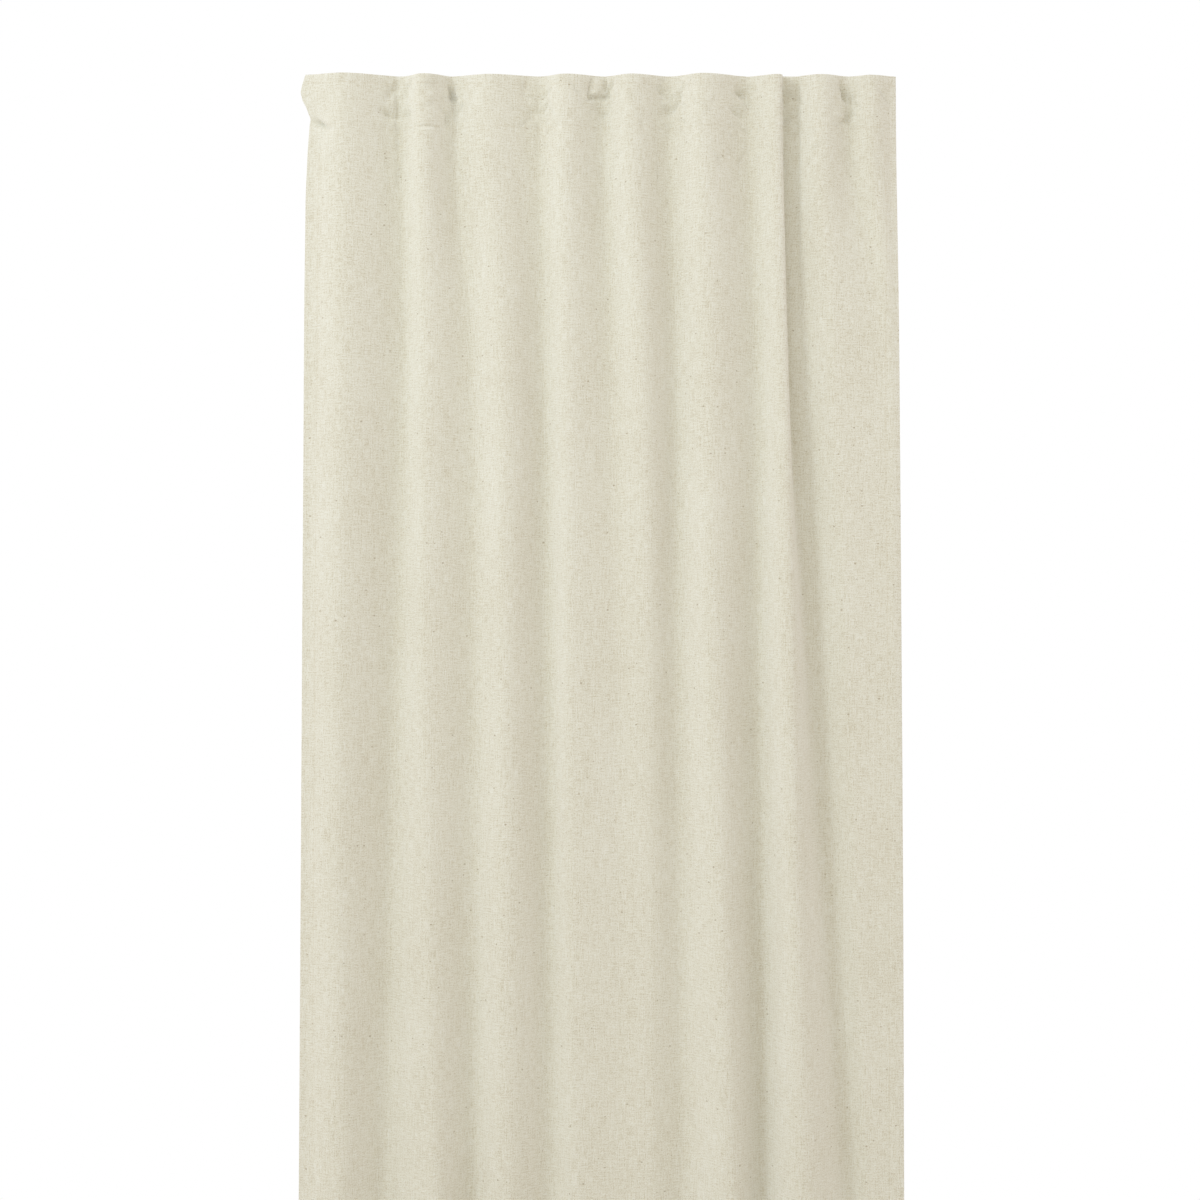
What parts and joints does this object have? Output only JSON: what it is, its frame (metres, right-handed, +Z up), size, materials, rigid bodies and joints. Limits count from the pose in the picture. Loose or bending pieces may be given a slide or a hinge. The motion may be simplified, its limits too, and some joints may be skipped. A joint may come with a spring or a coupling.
{
  "type": "fabric curtain panel",
  "caption": "Fabric room curtain panel in soft vertical folds, with a taped heading and hidden woven back loops that slide along a rod.",
  "frame": {"origin": "middle of the rod line, halfway between the side edges, on the axis of the rod that the back loops hang on", "axes": "+Z up, +X along the rod to the right as seen from the room, -Y towards the room, so the cloth's face looks along -Y"},
  "size_m": [1.0494, 0.121, 2.4],
  "materials": {
    "cloth": "matte plain-weave linen look cloth, natural off-white",
    "tape": "matte woven heading tape",
    "tab": "woven webbing",
    "thread": "spun polyester sewing thread",
    "label": "blank satin label ribbon"
  },
  "bodies": {
    "panel": {"panel_cloth": "cloth", "heading_facing": "cloth", "heading_tape": "tape", "left_side_hem": "cloth", "right_side_hem": "cloth", "bottom_hem": "cloth", "heading_stitch_upper": "thread", "heading_stitch_lower": "thread", "left_hem_stitch": "thread", "right_hem_stitch": "thread", "bottom_hem_stitch": "thread", "care_label": "label", "back_tab_1": "tab", "bartack_1_upper": "thread", "bartack_1_lower": "thread"},
    "loop_2": {"back_tab_2": "tab", "bartack_2_upper": "thread", "bartack_2_lower": "thread"},
    "loop_3": {"back_tab_3": "tab", "bartack_3_upper": "thread", "bartack_3_lower": "thread"},
    "loop_4": {"back_tab_4": "tab", "bartack_4_upper": "thread", "bartack_4_lower": "thread"},
    "loop_5": {"back_tab_5": "tab", "bartack_5_upper": "thread", "bartack_5_lower": "thread"},
    "loop_6": {"back_tab_6": "tab", "bartack_6_upper": "thread", "bartack_6_lower": "thread"},
    "loop_7": {"back_tab_7": "tab", "bartack_7_upper": "thread", "bartack_7_lower": "thread"},
    "loop_8": {"back_tab_8": "tab", "bartack_8_upper": "thread", "bartack_8_lower": "thread"}
  },
  "joints": [
    {"name": "draw", "type": "slide", "parent": "panel", "child": "loop_8", "axis": [1, 0, 0], "range_m": [-0.546, 0], "deforming": ["panel_cloth", "heading_facing", "heading_tape", "left_side_hem", "right_side_hem", "bottom_hem", "heading_stitch_upper", "heading_stitch_lower", "left_hem_stitch", "right_hem_stitch", "bottom_hem_stitch", "care_label"]},
    {"name": "loop_2_slide", "type": "slide", "parent": "panel", "child": "loop_2", "axis": [1, 0, 0], "range_m": [-0.0624, 0]},
    {"name": "loop_3_slide", "type": "slide", "parent": "panel", "child": "loop_3", "axis": [1, 0, 0], "range_m": [-0.1687, 0]},
    {"name": "loop_4_slide", "type": "slide", "parent": "panel", "child": "loop_4", "axis": [1, 0, 0], "range_m": [-0.2467, 0]},
    {"name": "loop_5_slide", "type": "slide", "parent": "panel", "child": "loop_5", "axis": [1, 0, 0], "range_m": [-0.327, 0]},
    {"name": "loop_6_slide", "type": "slide", "parent": "panel", "child": "loop_6", "axis": [1, 0, 0], "range_m": [-0.4227, 0]},
    {"name": "loop_7_slide", "type": "slide", "parent": "panel", "child": "loop_7", "axis": [1, 0, 0], "range_m": [-0.4745, 0]}
  ],
  "couplings": [
    {"joint": "loop_2_slide", "follows": "draw", "ratio": 0.114},
    {"joint": "loop_3_slide", "follows": "draw", "ratio": 0.3087},
    {"joint": "loop_4_slide", "follows": "draw", "ratio": 0.4516},
    {"joint": "loop_5_slide", "follows": "draw", "ratio": 0.5986},
    {"joint": "loop_6_slide", "follows": "draw", "ratio": 0.7739},
    {"joint": "loop_7_slide", "follows": "draw", "ratio": 0.8688}
  ]
}
